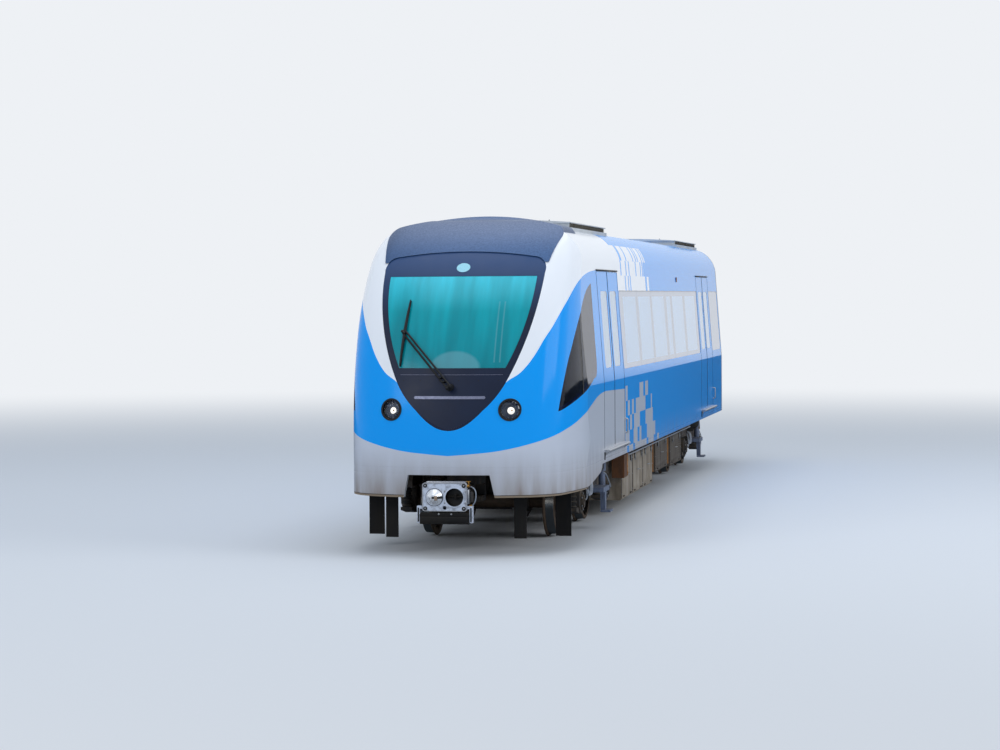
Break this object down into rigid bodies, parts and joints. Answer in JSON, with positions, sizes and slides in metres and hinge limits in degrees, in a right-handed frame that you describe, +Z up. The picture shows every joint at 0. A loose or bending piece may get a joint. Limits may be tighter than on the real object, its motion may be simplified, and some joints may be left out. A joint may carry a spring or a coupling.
{
  "type": "metro car",
  "caption": "Cab-end metro car with a raked glazed nose, double doors, two swivelling bogies, automatic coupler and rear gangway.",
  "frame": {"origin": "middle of the car's box on the floor plane under the wheel flanges", "axes": "+Y towards the rear gangway, -Y out of the nose, +X the car's left side, +Z up"},
  "size_m": [2.84, 17.74, 3.8549],
  "materials": {
    "shell_paint": "gloss coach paint",
    "nose_paint": "gloss coach paint",
    "bumper_paint": "satin silver paint",
    "hood_paint": "metallic grey blue paint",
    "mask_gloss": "polished dark panel",
    "roof_paint": "gloss coach paint",
    "tinted_glass": "teal tint",
    "side_glass": "dark tint",
    "frame_black": "matt black",
    "lamp_lens": "clear",
    "black_rubber": "matt",
    "steel_grey": "dusty grey paint",
    "case_grey": "dusty light grey paint",
    "bracket_brown": "brown primer",
    "cast_grey": "rough cast",
    "wheel_steel": "turned",
    "coupler_metal": "light grey paint",
    "bright_alloy": "brushed",
    "chrome_tube": "polished",
    "seat_blue": "moulded shell",
    "interior_grey": "fine grain",
    "lamp_white": "lit panel",
    "amber_lens": "amber",
    "damper_blue": "grey blue paint"
  },
  "bodies": {
    "carbody": {"air_tanks": "steel_grey", "bracket_boxes": "bracket_brown", "ceiling_panels": "interior_grey", "coupler_pockets": "cast_grey", "door_leaves": "bumper_paint", "door_sills": "bright_alloy", "door_windows": "side_glass", "equipment_cases": "case_grey", "front_console": "interior_grey", "front_hatch": "mask_gloss", "front_mask": "mask_gloss", "gangway_bars": "frame_black", "gangway_bellows": "black_rubber", "gangway_frame": "bright_alloy", "grab_poles": "chrome_tube", "headlamp_bezels": "frame_black", "headlamp_lenses": "lamp_lens", "nose_bumper": "bumper_paint", "nose_shell": "nose_paint", "nose_strip": "bright_alloy", "oval_lamp": "lamp_white", "quarter_bars": "frame_black", "quarter_windows": "side_glass", "rail_guards": "frame_black", "rear_end_wall": "bumper_paint", "roof_grilles": "frame_black", "roof_shell": "roof_paint", "roof_units": "roof_paint", "seat_benches": "seat_blue", "side_guards": "frame_black", "side_lamps": "amber_lens", "side_wall_left": "shell_paint", "side_wall_right": "shell_paint", "side_windows": "side_glass", "underframe": "steel_grey", "visor_hood": "hood_paint", "windscreen": "tinted_glass", "wiper": "frame_black"},
    "bogie_front": {"bogie_front_air_springs": "black_rubber", "bogie_front_axle_boxes": "cast_grey", "bogie_front_dampers": "damper_blue", "bogie_front_drives": "case_grey", "bogie_front_frame": "steel_grey", "bogie_front_shoes": "coupler_metal", "bogie_front_springs": "black_rubber"},
    "wheelset_front_1": {"wheelset_front_1": "wheel_steel"},
    "wheelset_front_2": {"wheelset_front_2": "wheel_steel"},
    "bogie_rear": {"bogie_rear_air_springs": "black_rubber", "bogie_rear_axle_boxes": "cast_grey", "bogie_rear_dampers": "damper_blue", "bogie_rear_drives": "case_grey", "bogie_rear_frame": "steel_grey", "bogie_rear_shoes": "coupler_metal", "bogie_rear_springs": "black_rubber"},
    "wheelset_rear_1": {"wheelset_rear_1": "wheel_steel"},
    "wheelset_rear_2": {"wheelset_rear_2": "wheel_steel"},
    "coupler": {"coupler_shank": "cast_grey", "coupler_head": "coupler_metal", "coupler_electric_head": "steel_grey"},
    "drawbar": {"drawbar": "cast_grey"}
  },
  "joints": [
    {"name": "bogie_front_turn", "type": "hinge", "parent": "carbody", "child": "bogie_front", "pos_m": [0, -4.87, 0.56], "axis": [0, 0, 1], "range_deg": [-5, 5]},
    {"name": "wheelset_front_1_spin", "type": "hinge", "parent": "bogie_front", "child": "wheelset_front_1", "pos_m": [0, -5.92, 0.423], "axis": [1, 0, 0], "continuous": true},
    {"name": "wheelset_front_2_spin", "type": "hinge", "parent": "bogie_front", "child": "wheelset_front_2", "pos_m": [0, -3.82, 0.423], "axis": [1, 0, 0], "continuous": true},
    {"name": "bogie_rear_turn", "type": "hinge", "parent": "carbody", "child": "bogie_rear", "pos_m": [0, 6.13, 0.56], "axis": [0, 0, 1], "range_deg": [-5, 5]},
    {"name": "wheelset_rear_1_spin", "type": "hinge", "parent": "bogie_rear", "child": "wheelset_rear_1", "pos_m": [0, 5.08, 0.423], "axis": [1, 0, 0], "continuous": true},
    {"name": "wheelset_rear_2_spin", "type": "hinge", "parent": "bogie_rear", "child": "wheelset_rear_2", "pos_m": [0, 7.18, 0.423], "axis": [1, 0, 0], "continuous": true},
    {"name": "coupler_swing", "type": "hinge", "parent": "carbody", "child": "coupler", "pos_m": [0, -7.56, 0.684], "axis": [0, 0, 1], "range_deg": [-6, 6]},
    {"name": "drawbar_swing", "type": "hinge", "parent": "carbody", "child": "drawbar", "pos_m": [0, 7.87, 0.684], "axis": [0, 0, 1], "range_deg": [-15, 15]}
  ]
}
